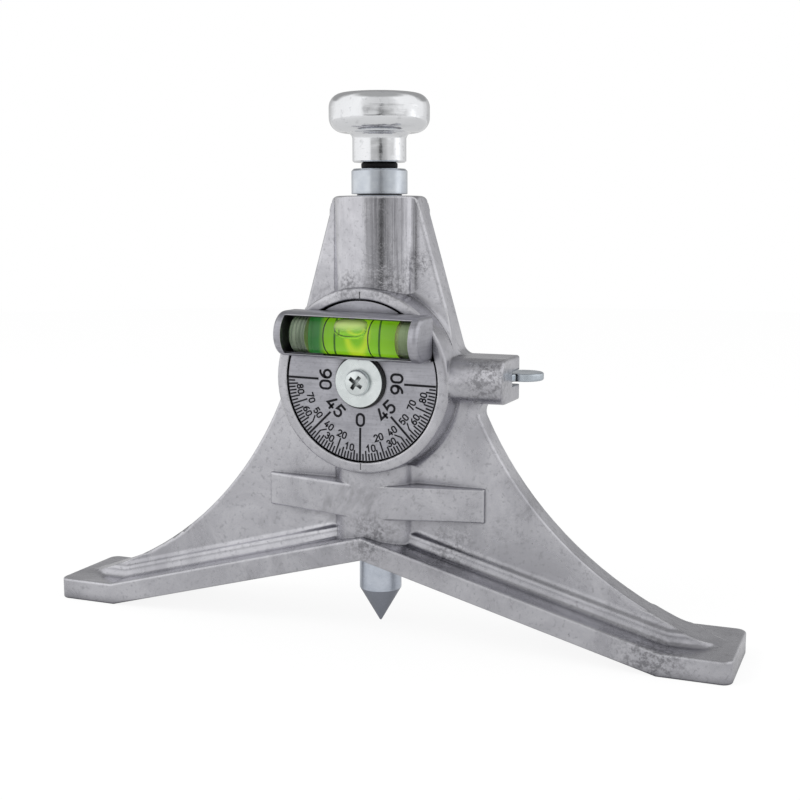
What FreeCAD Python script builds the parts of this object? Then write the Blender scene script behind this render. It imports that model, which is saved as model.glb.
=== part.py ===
import FreeCAD, Part

import math
import os

# Pipe centre finder: a V-footed casting that straddles a pipe, with a sprung centre punch down its
# barrel and a turning dial that carries a spirit level. Millimetres and degrees.
# X runs along the two legs, +X to the lock lever's side. -Y is the dial side. +Z is up.
# The origin is on the punch's axis, level with the soles of the toes.

V = FreeCAD.Vector
X_AXIS = V(1, 0, 0)
Y_AXIS = V(0, 1, 0)
Z_AXIS = V(0, 0, 1)
FULL_TURN = 360.0
PAST = 1.0  # how far a cutting tool runs past the face that it opens
HAIR = 1e-6  # slack when an edge is looked up by where it lies
QUARTER_BEND = 1 - math.sqrt(0.5)  # from a corner's faces to the middle of its unit rounding

# Foot of the casting
HALF_SPAN = 93.9
KNEE_X = 76.2
LEG_ANGLE = 15.0
FOOT_DEPTH = 26.8
FOOT_THICKNESS = 5.8
FOOT_EDGE_RADIUS = 0.55
TOE_CORNER_RADIUS = 2.6
RIB_HALF_DEPTH = 5.1
RIB_HEIGHT = 2.6
RIB_COVE = 1.9
RIB_ROUNDING = 1.1
RIB_SLOPE = 60.0  # lean of the slant above the rib, from upright
RIB_BLEND = 1.4

# Web and barrel of the casting
WEB_THICKNESS = 7.2
WEB_EDGE_RADIUS = 0.9
TOWER_TOP_Z = 113.0
WEB_TOP_HALF = 11.4
WEB_TAPER_ANGLE = 16.1
WEB_TIP_X = 90.0
FLARE_RADIUS = 95.6
BARREL_RADIUS = 11.5
BARREL_TOP_ROUNDING = 1.8
TOWER_TRIM_REACH = 0.8
BARREL_BLEND = 2.2
BLEND_ROOT = 0.7  # how deep the blends are rooted, as a share of the radius that they lie against
PAD_BOTTOM_Z = 31.0
PAD_HEIGHT = 8.7
PAD_OUTER_X = 30.3
PAD_END_STEP = 0.8
PAD_ROUNDING = 0.5

# Dial seat: a raised ring on the front of the web
DIAL_Z = 66.7
DIAL_RADIUS = 20.3
DIAL_GAP = 0.45
DIAL_THICKNESS = 3.95
DIAL_TURN = 1.0  # how far the dial stands turned clockwise, seen from the front
RING_WALL = 2.75
RING_DRAFT = 0.6
RING_FACE_Y = -12.85
RING_ROUNDING = 0.9
RING_COVE = 2.2
SEAT_FLOOR_Y = -7.8
SEAT_CHAMFER = 0.2
INDEX_WIDTH = 0.35
INDEX_DEPTH = 0.2

# Lock boss on the web's right edge
BOSS_REACH = 13.4
BOSS_RISE = 0.95
BOSS_HEIGHT = 11.3
BOSS_FRONT_Y = -12.6
BOSS_EDGE_RADIUS = 1.0
BOSS_CORNER_FILLET = 3.2
BOSS_ROOT_INSET = 2.0

# Punch, its bores and its spring
SHANK_RADIUS = 5.56
ROD_RADIUS = 3.175
RUNNING_CLEARANCE = 0.06
TIP_Z = 1.0
TIP_RADIUS = 0.25
TIP_HALF_ANGLE = 30.0
SHANK_TOP_Z = 38.0
SHANK_TOP_ROUNDING = 0.6
SHANK_BORE_TOP_Z = 58.8
CHAMBER_FLOOR_Z = 76.0
CHAMBER_RADIUS = 5.5
CLIP_Z = 78.5
CLIP_THICKNESS = 0.9
CLIP_RADIUS = 5.0
CLIP_GROOVE_DEPTH = 0.55
CLIP_MOUTH = 2.6
SEAT_CLEARANCE = 0.02
SPRING_WIRE = 0.8
SPRING_TURNS = 6.5
SPRING_RADIUS = 4.5

# Collar, bumper ring and knob on the tower
COLLAR_RADIUS = 7.15
COLLAR_HEIGHT = 6.3
COLLAR_CHAMFER = 0.55
COLLAR_LIFT = 0.5
COLLAR_UNDERCUT = 1.4
SPIGOT_LENGTH = 8.0
BUMPER_RADIUS = 4.65
BUMPER_HEIGHT = 1.65
BUMPER_ROUNDING = 0.55
KNOB_RADIUS = 12.8
KNOB_HEIGHT = 17.2
KNOB_HEAD_HEIGHT = 9.9
KNOB_NECK_RADIUS = 6.85
KNOB_TOP_ROUNDING = 3.5
KNOB_RIM_ROUNDING = 3.7
KNOB_NECK_FILLET = 1.6
KNOB_CROWN = 0.15
KNOB_NECK_CHAMFER = 0.3
KNOB_SOCKET_DEPTH = 9.5
KNOB_SOCKET_END_GAP = 0.5

# Vial and its holder on the dial
HOLDER_INSET = 1.0
HOLDER_RADIUS = 5.65
HOLDER_OFFSET = 11.9
HOLDER_RING_GAP = 0.25
HOLDER_FLOOR = 0.3
HOLDER_END_WALL = 2.3
HOLDER_END_ROUNDING = 1.2
VIAL_RADIUS = 4.75
VIAL_CLEARANCE = 0.06
VIAL_END_PLAY = 1.94
VIAL_WALL = 1.2
VIAL_PLUG_LENGTH = 3.9
WINDOW_LIP = 1.7
WINDOW_STEP_HALF = 6.9
WINDOW_STEP_BACK = 1.6
BUBBLE_X = -0.4
BUBBLE_HALF_LENGTH = 4.4
BUBBLE_RADIUS = 1.75
BUBBLE_TOP_CUT = 0.45
VIAL_LINE_X = 6.0
VIAL_LINE_WIDTH = 0.3
VIAL_LINE_THICKNESS = 0.12

# Screw and washers at the dial's centre
WASHER_RADIUS = 6.35
WASHER_THICKNESS = 1.0
WASHER_NOTCH = 0.9
FRICTION_RADIUS = 6.85
FRICTION_THICKNESS = 0.5
HOLDER_WASHER_GAP = 0.25
SCREW_RADIUS = 2.0
SCREW_HEAD_RADIUS = 3.25
SCREW_HEAD_HEIGHT = 2.1
SCREW_DOME = 0.6
SCREW_ENGAGEMENT = 4.0
SCREW_END_GAP = 0.5
CROSS_LENGTH = 3.9
CROSS_WIDTH = 1.0
CROSS_DEPTH = 1.5
CROSS_TURN = 35.0
CONE_WASHER_INNER = 5.0
CONE_WASHER_OUTER = 9.0
CONE_WASHER_SHEET = 0.35
CONE_WASHER_HEIGHT = 0.63

# Lock lever, its pin and the shoe that it presses on the dial's rim
LEVER_RISE = 0.25
LEVER_THICKNESS = 2.0
LEVER_EDGE_RADIUS = 0.5
LEVER_PIN_INSET = 6.9
LEVER_PIN_Y = -9.0
LEVER_PIN_RADIUS = 1.2
PIN_FLOOR = 1.0
CAM_RADIUS = 2.6
CAM_OFFSET = 0.57
CAM_REST_ANGLE = 75.0
LEVER_NECK_WIDTH = 3.2
TAB_RADIUS = 5.0
TAB_OUTREACH = 7.5
TAB_Y = 5.0
POCKET_HEIGHT = 3.8
POCKET_CLEARANCE = 0.35
POCKET_LENGTH = 11.6
POCKET_MOUTH_Y = -3.2
POCKET_END_WALL = 1.3
SPACER_RADIUS = 2.3
SHOE_RADIUS = 1.5
SHOE_Y = -9.6
SHOE_DIAL_GAP = 0.32
SHOE_CAM_GAP = 0.03

# Scale on the dial: painted strokes that stand a hair proud of the face
INK_THICKNESS = 0.06
INK_WIDTH = 0.38
INK_WIDTH_MAJOR = 0.54
SCALE_SPAN = 90.0
SCALE_STEP = 2.5
TICK_RIM_GAP = 0.1
TICK_FINE = 1.7
TICK_FIVE = 2.5
TICK_TEN = 1.9
TICK_TALL = 4.3
TICK_MAJOR = 8.4
TICK_BENT = 2.8
MAJOR_ANGLES = (0.0, 45.0, 90.0)
TALL_ANGLES = (20.0, 70.0)
BENT_ANGLES = (40.0, 50.0)

# Sizes that follow from the ones above
LEG_RISE = KNEE_X * math.tan(math.radians(LEG_ANGLE))
FOOT_APEX_Z = LEG_RISE + FOOT_THICKNESS / 2
WEB_HALF = WEB_THICKNESS / 2
FOOT_HALF_DEPTH = FOOT_DEPTH / 2
SEAT_RADIUS = DIAL_RADIUS + DIAL_GAP
RING_RADIUS = SEAT_RADIUS + RING_WALL
DIAL_BACK_Y = SEAT_FLOOR_Y - CONE_WASHER_HEIGHT - SEAT_CLEARANCE
DIAL_FACE_Y = DIAL_BACK_Y - DIAL_THICKNESS
SHANK_BORE_RADIUS = SHANK_RADIUS + RUNNING_CLEARANCE
ROD_BORE_RADIUS = ROD_RADIUS + RUNNING_CLEARANCE
SHOE_BORE_RADIUS = SHOE_RADIUS + RUNNING_CLEARANCE
COLLAR_BOTTOM_Z = TOWER_TOP_Z + COLLAR_LIFT
COLLAR_TOP_Z = COLLAR_BOTTOM_Z + COLLAR_HEIGHT
SPIGOT_BOTTOM_Z = TOWER_TOP_Z - SPIGOT_LENGTH
KNOB_BOTTOM_Z = COLLAR_TOP_Z + BUMPER_HEIGHT
KNOB_TOP_Z = KNOB_BOTTOM_Z + KNOB_HEIGHT
BOSS_RADIUS = BOSS_HEIGHT / 2
BOSS_END_X = RING_RADIUS + BOSS_REACH
BOSS_ROOT_X = BOSS_END_X - BOSS_ROOT_INSET
BOSS_Z = DIAL_Z + BOSS_RISE
LEVER_Z = BOSS_Z + LEVER_RISE
LEVER_PIN_X = BOSS_END_X - LEVER_PIN_INSET
TAB_X = LEVER_PIN_X + TAB_OUTREACH
POCKET_LEFT_X = BOSS_END_X - POCKET_LENGTH
POCKET_BOTTOM_Z = LEVER_Z - POCKET_HEIGHT / 2
VIAL_BORE_RADIUS = VIAL_RADIUS - VIAL_WALL
HOLDER_BORE_RADIUS = VIAL_RADIUS + VIAL_CLEARANCE
HOLDER_HALF_LENGTH = DIAL_RADIUS - HOLDER_INSET
WINDOW_HALF = HOLDER_HALF_LENGTH - HOLDER_END_WALL
HOLDER_Z = DIAL_Z + HOLDER_OFFSET
HOLDER_BACK_Y = RING_FACE_Y - HOLDER_RING_GAP
HOLDER_AXIS_Y = HOLDER_BACK_Y - HOLDER_FLOOR - HOLDER_BORE_RADIUS
VIAL_RIGHT_X = WINDOW_HALF - VIAL_CLEARANCE
VIAL_LEFT_X = VIAL_END_PLAY - WINDOW_HALF
WASHER_BACK_Y = DIAL_FACE_Y - SEAT_CLEARANCE - FRICTION_THICKNESS
WASHER_FRONT_Y = WASHER_BACK_Y - WASHER_THICKNESS


# Plain building blocks

def line(a, b):
    return Part.LineSegment(a, b).toShape()


def arc(a, mid, b):
    return Part.Arc(a, mid, b).toShape()


def polygon(points):
    return Part.Face(Part.makePolygon(list(points) + [points[0]]))


def box(x_span, y_span, z_span):
    low = V(x_span[0], y_span[0], z_span[0])
    size = V(x_span[1], y_span[1], z_span[1]) - low
    return Part.makeBox(size.x, size.y, size.z, low)


def post(radius, z_span, x=0.0, y=0.0):
    return Part.makeCylinder(radius, z_span[1] - z_span[0], V(x, y, z_span[0]), Z_AXIS)


def disc(radius, y_span, z=DIAL_Z, x=0.0):
    return Part.makeCylinder(radius, y_span[1] - y_span[0], V(x, y_span[0], z), Y_AXIS)


def rod_x(radius, x_span, y, z):
    return Part.makeCylinder(radius, x_span[1] - x_span[0], V(x_span[0], y, z), X_AXIS)


def mirrored(shape):
    return shape.mirror(V(0, 0, 0), X_AXIS)


def fused(first, *others):
    return first.fuse(list(others)).removeSplitter()


def polar(radius, degrees):
    angle = math.radians(degrees)
    return V(radius * math.cos(angle), radius * math.sin(angle), 0)


def turned_dial(shape):
    """The shape, turned with the dial to where it stands at rest."""
    shape.rotate(V(0, 0, DIAL_Z), Y_AXIS, DIAL_TURN)
    return shape


def edges_where(shape, test):
    return [edge for edge in shape.Edges if test(edge)]


def rounded_face(points):
    """Face in XZ inside a row of (x, z) corners, some with a rounding as third value."""
    corners = [V(p[0], 0, p[1]) for p in points]
    rounds = [p[2] if len(p) > 2 else 0.0 for p in points]
    edges = []
    starts = []
    ends = []
    for index, corner in enumerate(corners):
        back = (corners[index - 1] - corner).normalize()
        ahead = (corners[(index + 1) % len(corners)] - corner).normalize()
        half = back.getAngle(ahead) / 2
        reach = rounds[index] / math.tan(half)
        starts.append(corner + back * reach)
        ends.append(corner + ahead * reach)
        if rounds[index] > 0:
            inward = (back + ahead).normalize()
            middle = corner + inward * (rounds[index] / math.sin(half) - rounds[index])
            edges.append(arc(starts[-1], middle, ends[-1]))
    for index in range(len(corners)):
        following = (index + 1) % len(corners)
        edges.append(line(ends[index], starts[following]))
    return Part.Face(Part.Wire(Part.__sortEdges__(edges)))


def turned(points, centre=V(0, 0, 0), axis=Z_AXIS):
    """Solid turned about an axis from (radius, height) points, some with a rounding as third value."""
    solid = rounded_face(points).revolve(V(0, 0, 0), Z_AXIS, FULL_TURN)
    solid.Placement = FreeCAD.Placement(centre, FreeCAD.Rotation(Z_AXIS, axis))
    return solid


# Body casting

def web_outline():
    """Right half of the web's outline in XZ, from the axis at the top down to the axis in the foot."""
    slope = math.radians(WEB_TAPER_ANGLE)
    down = V(math.sin(slope), 0, -math.cos(slope))
    outward = V(math.cos(slope), 0, math.sin(slope))
    shoulder = V(WEB_TOP_HALF, 0, TOWER_TOP_Z)
    tip = V(WEB_TIP_X, 0, FOOT_THICKNESS)
    reach = tip - shoulder
    along = reach.dot(down)
    across = reach.dot(outward)
    straight = along - math.sqrt(2 * across * FLARE_RADIUS - across ** 2)
    flare_start = shoulder + down * straight
    centre = flare_start + outward * FLARE_RADIUS
    bisector = ((flare_start - centre) + (tip - centre)).normalize()
    return [
        line(V(0, 0, TOWER_TOP_Z), shoulder),
        line(shoulder, flare_start),
        arc(flare_start, centre + bisector * FLARE_RADIUS, tip),
        line(tip, V(WEB_TIP_X, 0, FOOT_THICKNESS / 2)),
        line(V(WEB_TIP_X, 0, FOOT_THICKNESS / 2), V(KNEE_X, 0, FOOT_THICKNESS / 2)),
        line(V(KNEE_X, 0, FOOT_THICKNESS / 2), V(0, 0, FOOT_APEX_Z)),
        line(V(0, 0, FOOT_APEX_Z), V(0, 0, TOWER_TOP_Z)),
    ]


def web_prism(half_thickness):
    """The web's silhouette, as a plate of the given half thickness about the XZ plane."""
    face = Part.Face(Part.Wire(web_outline()))
    face.translate(V(0, -half_thickness, 0))
    half = face.extrude(V(0, 2 * half_thickness, 0))
    return fused(half, mirrored(half))


def web_edge(edge):
    """True for the front and back edges of the plate's open outline."""
    bounds = edge.BoundBox
    flat = bounds.YLength < HAIR and abs(abs(bounds.YMin) - WEB_HALF) < HAIR
    low = bounds.ZMin < FOOT_THICKNESS - HAIR
    high = bounds.ZMax > TOWER_TOP_Z - HAIR and bounds.ZLength < HAIR
    middle = abs(bounds.XMin + bounds.XMax) < HAIR
    return flat and not low and not high and not middle


def web_plate():
    """Web with the lock boss's root on its right edge and rounded edges all along its outline."""
    root = box((0, BOSS_ROOT_X), (-WEB_HALF, WEB_HALF), (BOSS_Z - BOSS_RADIUS, BOSS_Z + BOSS_RADIUS))
    plate = fused(web_prism(WEB_HALF), root)

    def inner_corner(edge):
        bounds = edge.BoundBox
        across = abs(bounds.YLength - WEB_THICKNESS) < HAIR and bounds.XLength < HAIR
        beside = 0 < bounds.XMin < BOSS_ROOT_X - HAIR
        return across and beside and abs(bounds.ZMin - BOSS_Z) < BOSS_RADIUS + HAIR

    plate = plate.makeFillet(BOSS_CORNER_FILLET, edges_where(plate, inner_corner))
    return plate.makeFillet(WEB_EDGE_RADIUS, edges_where(plate, web_edge))


def rib_corners():
    """Right side of the rib in section, from the foot's top up to where it runs out on the web."""
    crest = FOOT_THICKNESS + RIB_HEIGHT
    slant_top = crest + (RIB_HALF_DEPTH - WEB_HALF) / math.tan(math.radians(RIB_SLOPE))
    run_out = slant_top + RIB_BLEND * math.tan(math.radians(RIB_SLOPE / 2))
    return [
        (RIB_HALF_DEPTH, FOOT_THICKNESS, RIB_COVE),
        (RIB_HALF_DEPTH, crest, RIB_ROUNDING),
        (WEB_HALF, slant_top, RIB_BLEND),
        (WEB_HALF, run_out + PAST),
        (0, run_out + PAST),
    ]


def foot_bar(with_rib, length):
    """Straight length of foot along +X, full depth, standing on z = 0, with or without its rib."""
    sole = [
        (0, 0),
        (FOOT_HALF_DEPTH, 0, FOOT_EDGE_RADIUS),
        (FOOT_HALF_DEPTH, FOOT_THICKNESS, FOOT_EDGE_RADIUS),
    ]
    section = rounded_face(sole + (rib_corners() if with_rib else [(0, FOOT_THICKNESS)]))
    section.rotate(V(0, 0, 0), Z_AXIS, FULL_TURN / 4)
    half = section.extrude(V(length, 0, 0))
    return fused(half, half.mirror(V(0, 0, 0), Y_AXIS))


def knee_wedge():
    """Everything on the leg's side of the plane that bisects the knee."""
    reach = HALF_SPAN * 2
    plane = box((-reach, 0), (-reach, reach), (-reach, reach))
    plane.rotate(V(0, 0, 0), Y_AXIS, LEG_ANGLE / 2)
    plane.translate(V(KNEE_X, 0, 0))
    return plane


def sloping_bar(with_rib):
    """Length of foot that slopes down to the right through the knee."""
    run = KNEE_X / math.cos(math.radians(LEG_ANGLE))
    margin = FOOT_DEPTH
    bar = foot_bar(with_rib, run + 2 * margin)
    bar.translate(V(-margin, 0, 0))
    bar.rotate(V(0, 0, 0), Y_AXIS, LEG_ANGLE)
    bar.translate(V(0, 0, LEG_RISE))
    return bar


def leg():
    """Right leg, from the plane of symmetry to the knee, its rib cut off at the web's outline."""
    ribbed = sloping_bar(True).common(web_prism(RIB_HALF_DEPTH + RIB_COVE + PAST))
    right_side = box((0, HALF_SPAN), (-FOOT_DEPTH, FOOT_DEPTH), (-FOOT_DEPTH, TOWER_TOP_Z))
    return fused(sloping_bar(False), ribbed).common(right_side).common(knee_wedge())


def toe():
    """Right toe, from the knee to the rounded corners of its end."""
    start = KNEE_X - FOOT_DEPTH
    bar = foot_bar(False, HALF_SPAN - start)
    bar.translate(V(start, 0, 0))
    plan = box((start, HALF_SPAN), (-FOOT_HALF_DEPTH, FOOT_HALF_DEPTH), (0, FOOT_THICKNESS))
    corners = edges_where(
        plan, lambda e: e.BoundBox.ZLength > FOOT_THICKNESS / 2 and e.BoundBox.XMin > KNEE_X
    )
    plan = plan.makeFillet(TOE_CORNER_RADIUS, corners)
    rims = edges_where(
        plan, lambda e: e.BoundBox.ZLength < HAIR and e.BoundBox.XMax > HALF_SPAN - TOE_CORNER_RADIUS - HAIR
    )
    plan = plan.makeFillet(FOOT_EDGE_RADIUS, rims)
    return bar.common(plan).cut(knee_wedge())


def rib_nose():
    """Right end of the rib on the toe, rounded in plan and cut off at the web's outline."""
    reach = RIB_HALF_DEPTH + RIB_COVE
    centre_x = WEB_TIP_X - reach
    low = FOOT_THICKNESS / 2
    skirt = reach + FOOT_EDGE_RADIUS
    nose = turned([(0, low), (skirt, low), (skirt, FOOT_THICKNESS)] + rib_corners(), V(centre_x, 0, 0))
    keep = box((KNEE_X / 2, centre_x), (-skirt, skirt), (low, TOWER_TOP_Z))
    nose_bar = fused(foot_bar(True, centre_x).common(keep), nose).cut(knee_wedge())
    return nose_bar.common(web_prism(skirt + PAST))


def foot():
    right = [leg(), toe(), rib_nose()]
    return fused(right[0], *right[1:], *[mirrored(shape) for shape in right])


def barrel():
    """Barrel from the foot to the tower's top, with the blends that run into the web."""
    z_span = (LEG_RISE + FOOT_EDGE_RADIUS, TOWER_TOP_Z)
    column = post(BARREL_RADIUS, z_span)
    outer = BARREL_RADIUS + BARREL_BLEND
    centre_y = WEB_HALF + BARREL_BLEND
    centre = V(math.sqrt(outer ** 2 - centre_y ** 2), centre_y, z_span[0])
    level = V(0, 0, z_span[0])
    on_barrel = (centre - level) * (BARREL_RADIUS / outer) + level
    on_web = V(centre.x, WEB_HALF, z_span[0])
    half_way = ((on_barrel - centre).normalize() + (on_web - centre).normalize()).normalize()
    inner = V(on_barrel.x * BLEND_ROOT, WEB_HALF * BLEND_ROOT, z_span[0])
    under = V(centre.x, WEB_HALF * BLEND_ROOT, z_span[0])
    outline = Part.Wire([
        arc(on_barrel, centre + half_way * BARREL_BLEND, on_web),
        line(on_web, under),
        line(under, inner),
        line(inner, on_barrel),
    ])
    blend = Part.Face(outline).extrude(V(0, 0, z_span[1] - z_span[0]))
    back_pair = [blend, mirrored(blend)]
    front_pair = [shape.mirror(V(0, 0, 0), Y_AXIS) for shape in back_pair]
    silhouette = web_prism(BARREL_RADIUS * 2)
    blends = [shape.common(silhouette) for shape in back_pair + front_pair]
    return fused(column, *blends)


def tower_top_trim():
    """Sleeve of waste round the tower's top, which leaves its edge rounded."""
    z_low = TOWER_TOP_Z - BARREL_TOP_ROUNDING
    reach = BARREL_RADIUS + TOWER_TRIM_REACH
    waste = post(BARREL_RADIUS * 2, (z_low, TOWER_TOP_Z + PAST))
    rounded = turned([
        (0, z_low - PAST),
        (reach, z_low - PAST),
        (reach, TOWER_TOP_Z, BARREL_TOP_ROUNDING),
        (0, TOWER_TOP_Z),
    ])
    return waste.cut(rounded)


def pads():
    """Two plain raised pads that run from the web up onto the front of the barrel."""
    outer = V(PAD_OUTER_X, -WEB_HALF - PAD_END_STEP, PAD_BOTTOM_Z)
    distance = math.hypot(outer.x, outer.y)
    angle = math.atan2(outer.y, outer.x) - math.acos(BARREL_RADIUS / distance)
    touch = V(BARREL_RADIUS * math.cos(angle), BARREL_RADIUS * math.sin(angle), PAD_BOTTOM_Z)
    root_y = -WEB_HALF / 2
    plan = polygon([
        touch,
        V(outer.x, outer.y, PAD_BOTTOM_Z),
        V(outer.x, root_y, PAD_BOTTOM_Z),
        V(touch.x, root_y, PAD_BOTTOM_Z),
    ])
    pad = plan.extrude(V(0, 0, PAD_HEIGHT))

    def outer_rim(edge):
        bounds = edge.BoundBox
        slanted = bounds.ZLength < HAIR and bounds.YLength > HAIR and bounds.XLength > HAIR
        upright = bounds.ZLength > HAIR and bounds.XMin > PAD_OUTER_X - HAIR and bounds.YMax < -WEB_HALF - HAIR
        return slanted or upright

    pad = pad.makeFillet(PAD_ROUNDING, edges_where(pad, outer_rim))
    return [pad, mirrored(pad)]


def dial_ring():
    """Raised ring round the dial, still without its seat, with a cove where it meets the web."""
    depth = -RING_FACE_Y - WEB_HALF / 2
    base = RING_RADIUS + RING_DRAFT
    ring = turned(
        [(0, 0), (base, 0), (RING_RADIUS, depth, RING_ROUNDING), (0, depth)],
        V(0, -WEB_HALF / 2, DIAL_Z),
        -Y_AXIS,
    )
    bend = RING_COVE * QUARTER_BEND
    root = V(base - RING_WALL, 0, 0)
    foot_in = V(base - RING_WALL, 0, WEB_HALF)
    foot_out = V(base + RING_COVE, 0, WEB_HALF)
    top = V(base, 0, WEB_HALF + RING_COVE)
    section = Part.Wire([
        line(root, foot_in + V(0, 0, RING_COVE)),
        line(foot_in + V(0, 0, RING_COVE), top),
        arc(top, V(base + bend, 0, WEB_HALF + bend), foot_out),
        line(foot_out, V(foot_out.x, 0, 0)),
        line(V(foot_out.x, 0, 0), root),
    ])
    cove = Part.Face(section).revolve(V(0, 0, 0), Z_AXIS, FULL_TURN)
    cove.Placement = FreeCAD.Placement(V(0, 0, DIAL_Z), FreeCAD.Rotation(Z_AXIS, -Y_AXIS))
    return [ring, cove.common(web_prism(BARREL_RADIUS))]


def lock_boss():
    """Boss on the right: round in front, flat behind, with a rounded end."""
    centre_y = BOSS_FRONT_Y + BOSS_RADIUS
    low = BOSS_Z - BOSS_RADIUS
    high = BOSS_Z + BOSS_RADIUS
    start = DIAL_RADIUS
    outline = Part.Wire([
        line(V(start, centre_y, high), V(start, WEB_HALF, high)),
        line(V(start, WEB_HALF, high), V(start, WEB_HALF, low)),
        line(V(start, WEB_HALF, low), V(start, centre_y, low)),
        arc(V(start, centre_y, low), V(start, BOSS_FRONT_Y, BOSS_Z), V(start, centre_y, high)),
    ])
    boss = Part.Face(outline).extrude(V(BOSS_END_X - start, 0, 0))
    rim = edges_where(boss, lambda e: e.BoundBox.XMin > BOSS_END_X - HAIR)
    return boss.makeFillet(BOSS_EDGE_RADIUS, rim)


def dial_seat():
    """Waste in the dial's seat, with the chamfer at its mouth and the two index grooves."""
    mouth = -RING_FACE_Y + SEAT_FLOOR_Y
    seat = turned(
        [
            (0, 0),
            (SEAT_RADIUS, 0),
            (SEAT_RADIUS, mouth - SEAT_CHAMFER),
            (SEAT_RADIUS + SEAT_CHAMFER + PAST, mouth + PAST),
            (0, mouth + PAST),
        ],
        V(0, SEAT_FLOOR_Y, DIAL_Z),
        -Y_AXIS,
    )
    groove = box(
        (-INDEX_WIDTH / 2, INDEX_WIDTH / 2),
        (RING_FACE_Y - PAST, RING_FACE_Y + INDEX_DEPTH),
        (DIAL_Z - RING_RADIUS + RING_ROUNDING, DIAL_Z + RING_RADIUS - RING_ROUNDING),
    )
    return [seat, groove]


def lever_pocket():
    """Waste of the lever's pocket, open at the boss's end and back, with the pin's and shoe's holes."""
    front = LEVER_PIN_Y + CAM_OFFSET * math.sin(math.radians(CAM_REST_ANGLE)) - CAM_RADIUS - POCKET_CLEARANCE
    right = BOSS_END_X - POCKET_END_WALL
    plan = polygon([
        V(POCKET_LEFT_X, front, POCKET_BOTTOM_Z),
        V(right, front, POCKET_BOTTOM_Z),
        V(right, POCKET_MOUTH_Y, POCKET_BOTTOM_Z),
        V(BOSS_END_X + PAST, POCKET_MOUTH_Y, POCKET_BOTTOM_Z),
        V(BOSS_END_X + PAST, WEB_HALF + PAST, POCKET_BOTTOM_Z),
        V(POCKET_LEFT_X, WEB_HALF + PAST, POCKET_BOTTOM_Z),
    ])
    pocket = plan.extrude(V(0, 0, POCKET_HEIGHT))
    pin_hole = post(LEVER_PIN_RADIUS, (BOSS_Z - BOSS_RADIUS - PAST, pin_top_z()), LEVER_PIN_X, LEVER_PIN_Y)
    shoe_hole = rod_x(SHOE_BORE_RADIUS, (DIAL_RADIUS - PAST, POCKET_LEFT_X + PAST), SHOE_Y, LEVER_Z)
    return [pocket, pin_hole, shoe_hole]


def boss_half_height(y):
    """Half the boss's height where a plane of constant Y cuts it."""
    offset = min(y - (BOSS_FRONT_Y + BOSS_RADIUS), 0.0)
    return math.sqrt(BOSS_RADIUS ** 2 - offset ** 2)


def pin_top_z():
    return BOSS_Z + boss_half_height(LEVER_PIN_Y - LEVER_PIN_RADIUS) - PIN_FLOOR


def pin_bottom_z():
    return BOSS_Z - boss_half_height(LEVER_PIN_Y - LEVER_PIN_RADIUS)


def bores():
    """Waste of the punch's bores and the tapped hole for the dial's screw."""
    return [
        post(SHANK_BORE_RADIUS, (0, SHANK_BORE_TOP_Z)),
        post(ROD_BORE_RADIUS, (SHANK_BORE_TOP_Z - PAST, CHAMBER_FLOOR_Z + PAST)),
        post(CHAMBER_RADIUS, (CHAMBER_FLOOR_Z, TOWER_TOP_Z + PAST)),
        disc(SCREW_RADIUS + SEAT_CLEARANCE, (SEAT_FLOOR_Y - PAST, SEAT_FLOOR_Y + SCREW_ENGAGEMENT)),
    ]


def body_casting():
    solid = fused(foot(), web_plate(), barrel(), *pads(), *dial_ring(), lock_boss())
    waste = [tower_top_trim(), *dial_seat(), *lever_pocket(), *bores()]
    return solid.cut(waste).removeSplitter()


# Punch and what rides on it

def punch():
    """Punch turned in one piece: cone, guided shank and the thinner rod up to the knob."""
    cone_top = TIP_Z + (SHANK_RADIUS - TIP_RADIUS) / math.tan(math.radians(TIP_HALF_ANGLE))
    groove_radius = ROD_RADIUS - CLIP_GROOVE_DEPTH
    rod_top = KNOB_BOTTOM_Z + KNOB_SOCKET_DEPTH - KNOB_SOCKET_END_GAP
    return turned([
        (0, TIP_Z),
        (TIP_RADIUS, TIP_Z),
        (SHANK_RADIUS, cone_top),
        (SHANK_RADIUS, SHANK_TOP_Z, SHANK_TOP_ROUNDING),
        (ROD_RADIUS, SHANK_TOP_Z),
        (ROD_RADIUS, CLIP_Z - SEAT_CLEARANCE),
        (groove_radius, CLIP_Z - SEAT_CLEARANCE),
        (groove_radius, CLIP_Z + CLIP_THICKNESS + SEAT_CLEARANCE),
        (ROD_RADIUS, CLIP_Z + CLIP_THICKNESS + SEAT_CLEARANCE),
        (ROD_RADIUS, rod_top),
        (0, rod_top),
    ])


def strike_knob():
    """Mushroom knob that is struck with a hammer, threaded onto the rod."""
    head_bottom = KNOB_TOP_Z - KNOB_HEAD_HEIGHT
    socket = ROD_RADIUS + SEAT_CLEARANCE
    knob = turned([
        (0, KNOB_BOTTOM_Z),
        (KNOB_NECK_RADIUS - KNOB_NECK_CHAMFER, KNOB_BOTTOM_Z),
        (KNOB_NECK_RADIUS, KNOB_BOTTOM_Z + KNOB_NECK_CHAMFER),
        (KNOB_NECK_RADIUS, head_bottom, KNOB_NECK_FILLET),
        (KNOB_RADIUS, head_bottom + KNOB_CROWN, KNOB_RIM_ROUNDING),
        (KNOB_RADIUS, KNOB_TOP_Z - KNOB_CROWN, KNOB_TOP_ROUNDING),
        (0, KNOB_TOP_Z),
    ])
    return knob.cut(post(socket, (KNOB_BOTTOM_Z - PAST, KNOB_BOTTOM_Z + KNOB_SOCKET_DEPTH)))


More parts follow.
